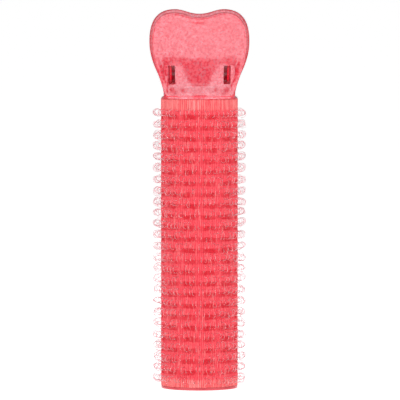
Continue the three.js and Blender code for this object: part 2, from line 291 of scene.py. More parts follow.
def new_material(name):
    material = bpy.data.materials.new(name)
    material.use_nodes = True
    tree = material.node_tree
    tree.nodes.clear()
    shader = tree.nodes.new("ShaderNodeBsdfPrincipled")
    output = tree.nodes.new("ShaderNodeOutputMaterial")
    tree.links.new(shader.outputs[0], output.inputs[0])
    place = tree.nodes.new("ShaderNodeTexCoord").outputs["Object"]
    return material, tree, shader, place


def set_shader(tree, shader, **values):
    """Sets sockets by name, with _ for a space: a value directly, or a link."""
    for key, value in values.items():
        socket = shader.inputs[key.replace("_", " ")]
        if isinstance(value, bpy.types.NodeSocket):
            tree.links.new(value, socket)
        else:
            socket.default_value = value


PEARL_CORAL = (0.72, 0.014, 0.038, 1)
PEARL_WARM = (0.84, 0.095, 0.125, 1)
PEARL_FLAKE = (0.96, 0.36, 0.44, 1)
# Painted shade: the next colour darkens the plastic in creases, recesses and between parts.
PEARL_CREASE_SHADE = (0.60, 0.016, 0.040, 1)
# Painted light: the next colour is a red glow emitted from deep hollows.
PEARL_PAINTED_GLOW = (0.95, 0.018, 0.05, 1)
PEARL_SHINE = (0.40, 0.94, 1.0, 1)
CORE_CORAL = (0.66, 0.065, 0.085, 1)
CORE_DEEP = (0.52, 0.030, 0.050, 1)
WEAVE_LIGHT = (0.96, 0.205, 0.200, 1)
WEAVE_BAND = (0.94, 0.066, 0.098, 1)
# The next colour is a darker yarn tone for some ribs and streaks, and painted shade in the grooves between
# ribs.
WEAVE_DARK_TONE_AND_SHADE = (0.82, 0.022, 0.050, 1)
# Painted shade: the next colour darkens the gaps between hook rows, most over the core's vents.
WEAVE_PAINTED_SHADE = (0.70, 0.006, 0.022, 1)
WEAVE_PALE = (1.0, 0.34, 0.33, 1)
NYLON = (1.0, 0.60, 0.64, 1)
NYLON_PALE = (0.97, 0.79, 0.81, 1)


FLAKE_SIZE = 0.36
CREASE_REACH = 2.6


def pearl_plastic():
    """Moulded coral plastic full of fine pearl flakes, under a clear gloss, with painted shade in creases and
    a painted red glow in deep hollows.
    """
    material, tree, shader, place = new_material("pearl_plastic")
    cells = node(tree, "ShaderNodeTexVoronoi", {"Vector": place, "Scale": 1 / (FLAKE_SIZE * MM)})
    chance = node(tree, "ShaderNodeSeparateColor", {0: cells.outputs["Color"]})
    flake = ramp(tree, chance.outputs[0], 0.45, 1.0)
    cloud = noise(tree, place, 1.6, 3.0)
    share = maths(tree, "MULTIPLY", flake, ramp(tree, cloud, 0.3, 0.7, 0.04, 0.5))
    flow = noise(tree, place, 0.9, 2.0)
    body = mix(tree, ramp(tree, flow, 0.38, 0.62), PEARL_CORAL, PEARL_WARM)
    colour = mix(tree, share, body, PEARL_FLAKE)
    nearby = node(tree, "ShaderNodeAmbientOcclusion", {"Distance": CREASE_REACH * MM}, samples=8)
    # Painted shade: ambient occlusion darkens the colour in creases, recesses and between parts.
    crease_shade = ramp(tree, nearby.outputs["AO"], 0.98, 0.7)
    colour = mix(tree, crease_shade, colour, PEARL_CREASE_SHADE)
    # Painted light: deep hollows glow red, standing in for light coming through the plastic.
    painted_glow = ramp(tree, nearby.outputs["AO"], 0.62, 0.15, 0.0, 0.85)
    wave = bump(tree, noise(tree, place, 7.0, 1.0), 0.05)
    grain = bump(tree, noise(tree, place, 0.6, 3.0), 0.017, 1.0, wave)
    facets = bump(tree, chance.outputs[1], 0.01, 1.0, grain)
    set_shader(
        tree,
        shader,
        Base_Color=colour,
        Metallic=maths(tree, "MULTIPLY", share, 0.55),
        Roughness=ramp(tree, cloud, 0.2, 0.8, 0.08, 0.15),
        IOR=2.1,
        Specular_Tint=PEARL_SHINE,
        Subsurface_Weight=0.3,
        Subsurface_Radius=(1.0, 0.12, 0.15),
        Subsurface_Scale=3.0 * MM,
        Emission_Color=PEARL_PAINTED_GLOW,
        Emission_Strength=painted_glow,
        Normal=facets,
        Coat_Weight=0.5,
        Coat_Roughness=0.05,
        Coat_Normal=wave,
    )
    return material


def core_plastic():
    """Plain moulded coral plastic with a satin surface and faint flow marks."""
    material, tree, shader, place = new_material("core_plastic")
    flow = noise(tree, place, 6.0, 3.0)
    colour = mix(tree, ramp(tree, flow, 0.35, 0.75), CORE_CORAL, CORE_DEEP)
    grain = bump(tree, noise(tree, place, 0.4, 3.0), 0.01, 0.7)
    set_shader(
        tree,
        shader,
        Base_Color=colour,
        Roughness=ramp(tree, flow, 0.2, 0.8, 0.28, 0.42),
        Normal=grain,
        Coat_Weight=0.15,
        Coat_Roughness=0.2,
    )
    return material


RIBS = 110
WEFT_PITCH = 0.42
VENT_COLUMNS = 12
BAND_RISE = 0.7


def tape_weave():
    """Ribbed nylon tape: light selvedges, and bands at the hook rows with painted shade in the gaps between
    them, darkest over the core's vents.
    """
    material, tree, shader, place = new_material("tape_weave")
    split = node(tree, "ShaderNodeSeparateXYZ", {0: place})
    x, y, z = split.outputs
    z = maths(tree, "DIVIDE", z, MM)
    turn = maths(tree, "ARCTAN2", y, x)
    wander = maths(tree, "SUBTRACT", noise(tree, place, 2.4, 3.0), 0.5)
    z_bent = maths(tree, "ADD", z, maths(tree, "MULTIPLY", wander, 1.1))
    along = maths(tree, "MULTIPLY", maths(tree, "SUBTRACT", z_bent, ROW_Z[0] + BAND_RISE), TURN / ROW_PITCH)
    band = maths(tree, "COSINE", along)
    # Painted shade between the hook rows, deepest where the core's vents lie behind the tape.
    gap = ramp(tree, band, 0.05, -0.5)
    inside_low = ramp(tree, z, ROW_Z[0] - 0.3, ROW_Z[0] + 0.5)
    inside_high = ramp(tree, z, ROW_Z[-1] + 1.7, ROW_Z[-1] + 0.8)
    inside = maths(tree, "MULTIPLY", inside_low, inside_high)
    gap = maths(tree, "MULTIPLY", gap, inside)
    vent = ramp(tree, maths(tree, "COSINE", maths(tree, "MULTIPLY", turn, VENT_COLUMNS)), 0.7, 0.0)
    patchy = ramp(tree, noise(tree, place, 4.0, 2.0), 0.38, 0.62, 0.25, 0.65)
    gap_shade_share = maths(tree, "MULTIPLY", gap, maths(tree, "ADD", maths(tree, "MULTIPLY", vent, 0.5), patchy))
    speckle = ramp(tree, noise(tree, place, 0.5, 3.0), 0.3, 0.75, 0.0, 0.35)
    bands = mix(tree, speckle, WEAVE_BAND, WEAVE_LIGHT)
    ground = mix(tree, inside, WEAVE_LIGHT, bands)
    rib = maths(tree, "COSINE", maths(tree, "MULTIPLY", turn, RIBS))
    # Painted shade in the grooves between the ribs.
    groove = ramp(tree, rib, -0.1, -0.95, 0.0, 0.8)
    colour = mix(tree, groove, ground, WEAVE_DARK_TONE_AND_SHADE)
    number = maths(tree, "FLOOR", maths(tree, "ADD", maths(tree, "MULTIPLY", turn, RIBS / TURN), 0.5))
    chance = node(tree, "ShaderNodeTexWhiteNoise", {"W": number}, noise_dimensions="1D").outputs["Value"]
    edge = maths(tree, "SUBTRACT", 1.0, inside)
    dark_rib = maths(tree, "MULTIPLY", edge, ramp(tree, chance, 0.45, 0.0, 0.0, 0.4))
    pale_rib = maths(tree, "MULTIPLY", edge, ramp(tree, chance, 0.6, 1.0, 0.0, 0.5))
    colour = mix(tree, dark_rib, colour, WEAVE_DARK_TONE_AND_SHADE)
    colour = mix(tree, pale_rib, colour, WEAVE_PALE)
    stretched = node(tree, "ShaderNodeMapping", {"Vector": place, "Scale": (1, 1, 0.22)}).outputs[0]
    streak = noise(tree, stretched, 0.6, 2.0)
    colour = mix(tree, ramp(tree, streak, 0.47, 0.3, 0.0, 0.45), colour, WEAVE_DARK_TONE_AND_SHADE)
    colour = mix(tree, gap_shade_share, colour, WEAVE_PAINTED_SHADE)
    colour = mix(tree, ramp(tree, streak, 0.54, 0.7, 0.0, 0.35), colour, WEAVE_PALE)
    odd = maths(tree, "MULTIPLY", maths(tree, "PINGPONG", number, 1.0), math.pi)
    over = maths(tree, "COSINE", maths(tree, "ADD", maths(tree, "MULTIPLY", z, TURN / WEFT_PITCH), odd))
    threads = bump(tree, over, 0.03)
    fuzz = bump(tree, noise(tree, place, 0.15, 3.0), 0.02, 0.8, threads)
    set_shader(
        tree,
        shader,
        Base_Color=colour,
        Roughness=ramp(tree, over, -1.0, 1.0, 0.85, 0.6),
        Normal=fuzz,
        Sheen_Weight=0.6,
        Sheen_Roughness=0.25,
        Sheen_Tint=(1.0, 0.78, 0.82, 1),
    )
    return material


def hook_nylon():
    """Clear pink nylon monofilament."""
    material, tree, shader, place = new_material("hook_nylon")
    tone = noise(tree, place, 1.5, 2.0)
    set_shader(
        tree,
        shader,
        Base_Color=mix(tree, ramp(tree, tone, 0.3, 0.7), NYLON, NYLON_PALE),
        Roughness=ramp(tree, tone, 0.2, 0.8, 0.18, 0.32),
        Normal=bump(tree, noise(tree, place, 0.12, 2.0), 0.006),
        IOR=1.3,
        Transmission_Weight=0.8,
    )
    return material


def spring_steel():
    material, tree, shader, place = new_material("steel")
    scratches = node(tree, "ShaderNodeMapping", {"Vector": place, "Scale": (0.08, 1, 1)}).outputs[0]
    lines = noise(tree, scratches, 0.05, 2.0)
    set_shader(
        tree,
        shader,
        Base_Color=mix(tree, lines, (0.52, 0.53, 0.55, 1), (0.74, 0.75, 0.77, 1)),
        Metallic=1.0,
        Roughness=ramp(tree, lines, 0.2, 0.8, 0.18, 0.34),
        Normal=bump(tree, lines, 0.004, 0.6),
    )
    return material


PEARL = pearl_plastic()
CORE = core_plastic()
WEAVE = tape_weave()
HOOK = hook_nylon()
STEEL = spring_steel()


def finish_piece(piece, slot, *nodes, body="roller"):
    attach(piece, body)
    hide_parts(*nodes)


# ---- Thumb plates: how far the outer face stands from the axis, and how round it is, at a height ----
def plate_form(z):
    z = np.asarray(z, float)
    bend_top = LEAN_START + LEAN_RADIUS * math.sin(LEAN)
    rise = np.clip(z, LEAN_START, bend_top) - LEAN_START
    lean = LEAN_RADIUS - np.sqrt(LEAN_RADIUS**2 - rise**2) + np.maximum(0, z - bend_top) * math.tan(LEAN)
    rounder = TAPE_R + FLATTEN_RATE * soft_above(z - FLATTEN_START, FLATTEN_EASE)
    return TAPE_R + lean, soft_least(rounder, FLATTEST_R, FLATTEST_EASE)


def lever_form(z):
    z = np.asarray(z, float)
    reach, radius = plate_form(z)
    blend = smooth((SHOULDER_TOP - z) / (SHOULDER_TOP - SHOULDER_BOTTOM))
    flare = ARM_FLARE * smooth((ARM_FLARE_START - z) / (ARM_FLARE_START - LEVER_LOW.z))
    return reach + (ARM_R - reach) * blend + flare, radius + (ARM_R - radius) * blend


FRONT = (plate_form, -1)
REAR = (lever_form, 1)


def wall_points(wall, x, z, depth):
    """Points of a wall at a half-width x on its outer face, a height z, and a depth below that face."""
    form, side = wall
    reach, radius = form(z)
    angle = np.arcsin(np.clip(x / radius, -1, 1))
    r = radius - depth
    y = side * (reach - radius + r * np.cos(angle))
    return np.stack(np.broadcast_arrays(r * np.sin(angle), y, z), axis=-1)


def arc_from_x(wall, x, z):
    radius = wall[0](z)[1]
    return radius * np.arcsin(np.clip(x / radius, -1, 1))


def x_from_arc(wall, arc, z):
    radius = wall[0](z)[1]
    return radius * np.sin(arc / radius)


def plate_sides(crown, wide, neck, start):
    """The right half of the plate's outline above start, as two runs.

    One goes up the side to the lobe's shoulder, and the other along the top to the middle.
    """
    dip = crown - DIP_DEPTH
    widest = (wide, PLATE_WIDEST)
    low = bezier(
        (neck, NECK_Z),
        (neck + 0.6, NECK_Z + 4),
        (wide, PLATE_WIDEST - 7),
        widest,
        60,
    )
    lobe = bezier(
        widest,
        (wide + 0.1, PLATE_WIDEST + 6.8),
        (wide - LOBE_SHOULDER, crown),
        (LOBE_X, crown),
        60,
    )
    middle = bezier((LOBE_X, crown), (LOBE_X - 3, crown), (3.6, dip), (0, dip), 40)
    half = len(lobe) // 2
    side = np.vstack([low[low[:, 1] > start], lobe[:half]])
    return side, np.vstack([lobe[half - 1 :], middle])


EDGE_ROUND = 0.75
BACK_ROUND = 0.35
RIM_WIDTH = 1.05
RIM_WALL = 1.9
RECESS_DEPTH = 1.0
RECESS_MARGIN = 0.35
FOOT_HEIGHT = 3.9
# How far the grid's rows take to follow the outline of an end, and how far the outline runs on
# past an end that has no edge of its own.
END_EASE = 15
OPEN_END = 6
COLUMNS_ACROSS = 26


def edge_offsets():
    """How far in from the edge the grid's lines are: round the edge, over the rim, into the recess."""
    over = EDGE_ROUND * (1 - np.cos(np.radians(np.arange(0, 91, 15))))
    rim = np.linspace(EDGE_ROUND, RIM_WIDTH, 4)[1:]
    wall = np.linspace(RIM_WIDTH, RIM_WIDTH + RIM_WALL, 10)[1:]
    return np.concatenate([over, rim, wall, [RIM_WIDTH + RIM_WALL + RECESS_MARGIN]])


def distance_to_path(points, path):
    """How far each point is from a line of points."""
    a, b = path[:-1], path[1:]
    along = b - a
    best = np.full(len(points), np.inf)
    for start, step in zip(a, along):
        t = np.clip(((points - start) @ step) / (step @ step), 0, 1)
        gap = np.linalg.norm(points - start - t[:, None] * step, axis=1)
        best = np.minimum(best, gap)
    return best


def round_depth(distance, radius):
    inward = np.clip(radius - distance, 0, radius)
    return radius - np.sqrt(radius**2 - inward**2)


def curved_plate(name, wall, side, top_run, bottom_run, row_step, recess):
    """A curved plate with a rounded edge, raised rim and recessed face, as one closed mesh.

    side is the right edge's (x, z) run from bottom to top, top_run goes on from it to the middle,
    and bottom_run, if there is one, goes from the middle out to the side's foot. recess gives how
    much of the recess's depth there is for a distance from the edge and a height.
    """
    offsets = edge_offsets()
    z_low, z_high = side[0, 1], side[-1, 1]
    inner_low = z_low if bottom_run is None else z_low + offsets[-1]
    inner = np.arange(inner_low, z_high - offsets[-1], row_step)
    rows = [inner, z_high - offsets[::-1]]
    if bottom_run is not None:
        rows.insert(0, z_low + offsets[:-1])
    rows = np.concatenate(rows)
    side_arc = arc_from_x(wall, side[:, 0], side[:, 1])
    half_arc = np.interp(rows, side[:, 1], side_arc)

    def columns(half):
        inner_half = half - offsets[-1]
        middle = np.linspace(-inner_half, inner_half, COLUMNS_ACROSS)[1:-1]
        return np.concatenate([offsets - half, middle, (half - offsets)[::-1]])

    def edge_height(run, z_corner, half):
        arcs = arc_from_x(wall, run[:, 0], run[:, 1])
        order = np.argsort(arcs)
        return np.interp(np.abs(columns(half)), arcs[order], run[order, 1]) - z_corner

    rise = edge_height(top_run, z_high, half_arc[-1])
    top_share = np.clip((rows - (z_high - END_EASE)) / END_EASE, 0, 1)
    z = rows[:, None] + top_share[:, None] * rise[None]
    if bottom_run is not None:
        drop = edge_height(bottom_run, z_low, half_arc[0])
        bottom_share = np.clip(1 - (rows - z_low) / END_EASE, 0, 1)
        z = z + bottom_share[:, None] * drop[None]
    arc = np.array([columns(half) for half in half_arc])
    x = x_from_arc(wall, arc, z)
    outer = wall_points(wall, x, z, 0.0).reshape(-1, 3)
    runs = [side, top_run]
    if bottom_run is not None:
        runs.insert(0, bottom_run)
    else:
        runs.insert(0, side[:1] - [0, OPEN_END])
    right = np.vstack(runs)
    left = right[::-1] * [-1, 1]
    outline = np.vstack([right, left])
    keep = np.append(np.linalg.norm(np.diff(outline, axis=0), axis=1) > 1e-6, True)
    outline = outline[keep]
    edge_path = wall_points(wall, outline[:, 0], outline[:, 1], 0.0)
    distance = distance_to_path(outer, edge_path).reshape(z.shape)
    face = round_depth(distance, EDGE_ROUND) + RECESS_DEPTH * recess(distance, z)
    back = PLATE_THICKNESS - round_depth(distance, BACK_ROUND)
    points = np.vstack([
        wall_points(wall, x, z, face).reshape(-1, 3),
        wall_points(wall, x, z, back).reshape(-1, 3),
    ])
    return make_piece(name, points, two_sided_faces(*z.shape), PEARL)


def two_sided_faces(row_count, column_count):
    """Faces of two grids, one behind the other, closed round their edge."""
    faces = []
    behind = row_count * column_count
    for i in range(row_count - 1):
        for j in range(column_count - 1):
            a = i * column_count + j
            quad = (a, a + 1, a + 1 + column_count, a + column_count)
            faces.append(quad)
            faces.append(tuple(behind + k for k in reversed(quad)))
    low = list(range(column_count))
    right = [i * column_count + column_count - 1 for i in range(1, row_count)]
    top = [(row_count - 1) * column_count + j for j in range(column_count - 2, -1, -1)]
    left = [i * column_count for i in range(row_count - 2, 0, -1)]
    loop = low + right + top + left
    for a, b in zip(loop, loop[1:] + loop[:1]):
        faces.append((b, a, behind + a, behind + b))
    return faces


def rim_share(distance):
    return smooth((distance - RIM_WIDTH) / RIM_WALL)


# ---- Ears, slots and the pin hole ----
PIN_R = 1
PIN_CLEARANCE = 0.3
EAR_R = 2.9
EAR_BOTTOM = 99.5
EAR_TOP = 106
FRONT_EAR = (9.75, 11.5)
REAR_EAR = (7.5, 9.3)
HUB_R = 2.5
HUB_GAP = 0.06
HUB_OVERLAP = 0.3
PIN_HOLE_REACH = 20
CIRCLE_STEPS = 40
SLOT = (8.25, 10.5, 99.7, 105.8)


def ear(wall, x0, x1):
    """A round boss about the pin, with a web that runs into the plate."""
    side = wall[1]
    sweep = np.radians(np.linspace(90, -90, 25))
    boss = np.column_stack([-side * EAR_R * np.cos(sweep), HINGE_Z + EAR_R * np.sin(sweep)])
    heights = np.linspace(EAR_BOTTOM, EAR_TOP, 10)
    rings = []
    bevel = 0.22
    for x, inset in ((x0, bevel), (x0 + bevel, 0), (x1 - bevel, 0), (x1, bevel)):
        scale = (EAR_R - inset) / EAR_R
        cap = np.column_stack([boss[:, 0] * scale, HINGE_Z + (boss[:, 1] - HINGE_Z) * scale])
        web_z = np.clip(heights, EAR_BOTTOM + inset, EAR_TOP - inset)
        web = wall_points(wall, x, web_z, PLATE_THICKNESS / 2)
        web_y = np.sign(side) * np.abs(web[:, 1])
        outline = np.vstack([cap, np.column_stack([web_y, web_z])])
        rings.append(np.column_stack([np.full(len(outline), x), outline]))
    return loft("ear", rings)


def ears(wall, span):
    x0, x1 = span
    return [ear(wall, x0, x1), ear(wall, -x1, -x0)]


def pin_cylinder(name, radius, x0, x1):
    """A closed cylinder about the pin's axis."""
    angles = np.arange(CIRCLE_STEPS) * TURN / CIRCLE_STEPS
    circle = np.column_stack([radius * np.cos(angles), HINGE_Z + radius * np.sin(angles)])
    return loft(name, [np.column_stack([np.full(CIRCLE_STEPS, x), circle]) for x in (x0, x1)])


def hubs():
    """The front ears' thrust faces, which reach in to the rear ears round the pin."""
    low, high = REAR_EAR[1] + HUB_GAP, FRONT_EAR[0] + HUB_OVERLAP
    return [pin_cylinder("hub", HUB_R, low, high), pin_cylinder("hub", HUB_R, -high, -low)]


def pin_hole():
    return pin_cylinder("pin_hole", PIN_R + PIN_CLEARANCE, -PIN_HOLE_REACH, PIN_HOLE_REACH)


def stadium(x0, x1, z0, z1, radius, steps=6):
    """Points round a rectangle with rounded corners, counted round its middle."""
    middle_x, middle_z = (x0 + x1) / 2, (z0 + z1) / 2
    points = []
    for corner, (cx, cz) in enumerate([(x1, z1), (x0, z1), (x0, z0), (x1, z0)]):
        x = cx - math.copysign(radius, cx - middle_x)
        z = cz - math.copysign(radius, cz - middle_z)
        for t in np.linspace(0, 1, steps + 1):
            angle = (corner + t) * math.pi / 2
            points.append((x + radius * math.cos(angle), z + radius * math.sin(angle)))
    return np.array(points)


def window(wall, x0, x1, z0, z1, radius, layers):
    """A cutter through a wall: layers gives its depth and how much wider it is there."""
    rings = []
    for depth, wider in layers:
        outline = stadium(x0 - wider, x1 + wider, z0 - wider, z1 + wider, radius + wider)
        rings.append(wall_points(wall, outline[:, 0], outline[:, 1], depth))
    return loft("window", rings)


# ---- Clip head ----
GROOVE_TURN = 57
GROOVE_DEPTH = 0.4
GROOVE_LIFT = 0.15
GROOVE_HALF_WIDTH = 0.2
SLOT_ROUND = 0.35
HEAD_ROW_STEP = 0.45


def foot_groove():
    """The fine line moulded across the plate's foot, as a cutter."""
    middle = COLLAR_TOP + GROOVE_LIFT
    low, high = middle - GROOVE_HALF_WIDTH, middle + GROOVE_HALF_WIDTH
    outside = TAPE_R + 0.6
    sections = []
    for angle in np.radians(np.linspace(-GROOVE_TURN, GROOVE_TURN, 49)):
        depth = GROOVE_DEPTH * min(1.0, 6 * (1 - abs(math.degrees(angle)) / GROOVE_TURN) + 0.1)
        section = [(outside, low), (TAPE_R - depth, middle), (outside, high)]
        sections.append([(r * math.sin(angle), -r * math.cos(angle), z) for r, z in section])
    return loft("groove", sections)


def clip_head():
    side, top = plate_sides(HEAD_HIGH.z, FRONT_WIDE, FRONT_NECK, NECK_Z)
    side = np.vstack([[(FRONT_NECK, FRONT_PLATE_BOTTOM), (FRONT_NECK, NECK_Z)], side])

    def recess(distance, z):
        return rim_share(distance) * smooth((z - COLLAR_TOP - 0.3) / FOOT_HEIGHT)

    head = curved_plate("clip_head_shell", FRONT, side, top, None, HEAD_ROW_STEP, recess)
    inner = PLUG_R - PLUG_WALL
    collar = turned("collar", rounded([
        (inner, HEAD_LOW.z),
        (PLUG_R, HEAD_LOW.z),
        (PLUG_R, TAPE_TOP + 0.01),
        (TAPE_R - 0.04, TAPE_TOP + 0.01, 0.03),
        (COLLAR_SHOULDER_R, COLLAR_TOP, 0.4),
        (inner, COLLAR_TOP),
    ], 0.28), 144)
    combine(head, [collar, *ears(FRONT, FRONT_EAR), *hubs()], "UNION")
    cut = [(-0.8, 1.35), (0.55, 0.0), (PLATE_THICKNESS + 0.2, 0.0)]
    x0, x1, z0, z1 = SLOT
    slots = [
        window(FRONT, x0, x1, z0, z1, SLOT_ROUND, cut),
        window(FRONT, -x1, -x0, z0, z1, SLOT_ROUND, cut),
    ]
    combine(head, [*slots, pin_hole(), foot_groove()], "DIFFERENCE")
    finish_piece(head, "pearl_plastic", "clip_head")


# ---- Clip lever ----
ARM_VENTS = 4
ARM_VENT_HALF_WIDTH = 2.2
ARM_VENT_LENGTH = 13.5
ARM_VENT_FIRST = 20
ARM_VENT_PITCH = 18
LEVER_ROW_STEP = 0.6


def clip_lever():
    side, top = plate_sides(LEVER_HIGH.z, REAR_WIDE, REAR_NECK, REAR_PLATE_JOIN)
    tip = LEVER_LOW.z + ARM_TIP_R
    sweep = np.radians(np.linspace(-90, 0, 41))
    arc = np.column_stack([ARM_TIP_R * np.cos(sweep), tip + ARM_TIP_R * np.sin(sweep)])
    shoulder = bezier(
        (ARM_HALF_WIDTH, SHOULDER_FLARE_START),
        (ARM_HALF_WIDTH, SHOULDER_FLARE_START + 4.5),
        (side[0, 0] - 1.0, REAR_PLATE_JOIN - 2.8),
        side[0],
        30,
    )
    full_side = np.vstack([arc[20:], [(ARM_HALF_WIDTH, SHOULDER_FLARE_START)], shoulder[:-1], side])

    def recess(distance, z):
        near = soft_least(distance, z - REAR_RECESS_BOTTOM + RIM_WIDTH, 1.5)
        return rim_share(near)

    lever = curved_plate("clip_lever_shell", REAR, full_side, top, arc[:21], LEVER_ROW_STEP, recess)
    combine(lever, ears(REAR, REAR_EAR), "UNION")
    cut = [(-0.6, 0.85), (0.25, 0.0), (PLATE_THICKNESS - 0.25, 0.0), (PLATE_THICKNESS + 0.6, 0.85)]
    vents = []
    for i in range(ARM_VENTS):
        low = ARM_VENT_FIRST + i * ARM_VENT_PITCH
        half = ARM_VENT_HALF_WIDTH
        vents.append(window(REAR, -half, half, low, low + ARM_VENT_LENGTH, half - 0.01, cut))
    combine(lever, [*vents, pin_hole()], "DIFFERENCE")
    finish_piece(lever, "pearl_plastic", "clip_lever", body="lever")


# ---- Hinge pin and torsion spring ----
PIN_HEAD_HEIGHT = 0.7
PIN_HEAD_EDGE = 0.15
WIRE_R = 0.4
COIL_R = 2.4
COIL_TURNS = 6
COIL_SAMPLES = 28
COIL_HALF_LENGTH = 4.2
LEG_LEAN = math.radians(38)
LEG_START = 1.2
LEG_LENGTH = 17.4
LEG_TOE = 3.6


def hinge_pin():
    """A steel pin with a domed head at each end, turned about X."""
    head_r = (PIN_HIGH.z - PIN_LOW.z) / 2
    end = PIN_HIGH.x
    shank = end - PIN_HEAD_HEIGHT
    dome = []
    for a in np.radians(np.linspace(0, 90, 7)):
        r = PIN_HEAD_EDGE + (head_r - PIN_HEAD_EDGE) * math.cos(a)
        dome.append((r, shank + PIN_HEAD_EDGE + (end - shank - PIN_HEAD_EDGE) * math.sin(a)))
    half = [(PIN_R, 0.0), (PIN_R, shank), (head_r - 0.1, shank), *dome[:-1], (0.02, end)]
    profile = [(r, -h) for r, h in reversed(half[1:])] + half
    steps = 48
    angles = np.arange(steps) * TURN / steps
    rings = []
    for r, h in profile:
        rings.append(np.column_stack([np.full(steps, h), r * np.cos(angles), HINGE_Z + r * np.sin(angles)]))
    pin = loft("hinge_pin_steel", rings, STEEL)
    pin.data.set_sharp_from_angle(angle=math.radians(40))
    finish_piece(pin, "steel", "hinge_pin")


def spring_path():
    """The wire's centreline: a leg up each thumb plate, joined by the coil round the pin."""
    def leg(side, length, toe):
        y = side * (COIL_R * math.cos(LEG_LEAN) + length * math.sin(LEG_LEAN) + toe * math.sin(LEAN))
        z = HINGE_Z - COIL_R * math.sin(LEG_LEAN) + length * math.cos(LEG_LEAN) + toe * math.cos(LEAN)
        return (side * COIL_HALF_LENGTH, y, z)

    turn = COIL_TURNS * TURN + math.pi - 2 * LEG_LEAN
    coil = []
    for t in np.linspace(0, 1, COIL_TURNS * COIL_SAMPLES):
        angle = math.pi + LEG_LEAN + turn * t
        x = COIL_HALF_LENGTH * (2 * t - 1)
        coil.append((x, COIL_R * math.cos(angle), HINGE_Z + COIL_R * math.sin(angle)))

    def whole_leg(side):
        straight = [leg(side, length, 0) for length in np.linspace(LEG_START, LEG_LENGTH - 1, 10)]
        bend_from, bend_to = np.array(straight[-1]), np.array(leg(side, LEG_LENGTH, 1))
        knee = np.array(leg(side, LEG_LENGTH, 0))
        bend = []
        for t in np.linspace(0, 1, 7)[1:]:
            bend.append((1 - t) ** 2 * bend_from + 2 * t * (1 - t) * knee + t * t * bend_to)
        return straight + [tuple(p) for p in bend] + [leg(side, LEG_LENGTH, LEG_TOE)]

    return np.array([*reversed(whole_leg(-1)), *coil, *whole_leg(1)])


def tube_rings(path, radius, sides):
    """Rings of points round a path, carried along it without twist."""
    step = np.gradient(path, axis=0)
    step /= np.linalg.norm(step, axis=1)[:, None]
    across = np.cross(step[0], [1.0, 0.0, 0.0])
    angles = np.arange(sides) * TURN / sides
    rings = []
    for place, ahead in zip(path, step):
        across = across - ahead * (across @ ahead)
        across /= np.linalg.norm(across)
        other = np.cross(ahead, across)
        rings.append(place + radius * (np.cos(angles)[:, None] * across + np.sin(angles)[:, None] * other))
    return rings


def torsion_spring():
    spring = loft("torsion_spring_wire", tube_rings(spring_path(), WIRE_R, 12), STEEL)
    spring.data.set_sharp_from_angle(angle=math.radians(50))
    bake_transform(spring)
    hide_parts("torsion_spring")


# ---- Barrel core ----
CORE_R = 12
CORE_WALL = 1.2
LIP_HEIGHT = 0.9
VENT_ROWS = 5
VENT_FIRST = 4.6
VENT_PITCH = 4.7 * ROW_PITCH
VENT_HEIGHT = 13.4
VENT_WIDTH = 3.8


def barrel_core():
    inner = CORE_R - CORE_WALL
    core = turned("core_tube", rounded([
        (inner, CORE_LOW.z),
        (CORE_HIGH.x, CORE_LOW.z),
        (CORE_HIGH.x, LIP_HEIGHT),
        (CORE_R, LIP_HEIGHT),
        (CORE_R, CORE_HIGH.z),
        (inner, CORE_HIGH.z),
    ], 0.3), 144, CORE)
    cutters = []
    outline = stadium(-VENT_WIDTH / 2, VENT_WIDTH / 2, 0, VENT_HEIGHT, 0.6, 3)
    for column in range(VENT_COLUMNS):
        angle = (column + 0.5) * TURN / VENT_COLUMNS
        out = np.array([math.cos(angle), math.sin(angle), 0])
        across = np.array([-math.sin(angle), math.cos(angle), 0])
        for row in range(VENT_ROWS):
            up = np.column_stack([np.zeros((len(outline), 2)), outline[:, 1] + VENT_FIRST + row * VENT_PITCH])
            flat = outline[:, :1] * across + up
            cutters.append(loft("vent", [flat + out * (inner - 1), flat + out * (CORE_R + 1)]))
    combine(core, cutters, "DIFFERENCE")
    finish_piece(core, "core_plastic", "barrel_core")


# ---- Hook tape ----
RIB_SAMPLES = 6
RIB_HEIGHT = 0.16
TAPE_TOP = TAPE_HIGH.z + 0.7
TAPE_BOTTOM = LIP_HEIGHT + 0.02
BAND_HEIGHT = 0.1
BAND_MARGIN = 1.7
SELVEDGE_BAND = 0.6
UNEVEN_HEIGHT = 0.012
TAPE_DEPTH = 0.35
TAPE_EDGE = 0.15
TAPE_EDGE_ROUND = 0.03
TAPE_SEED = 11


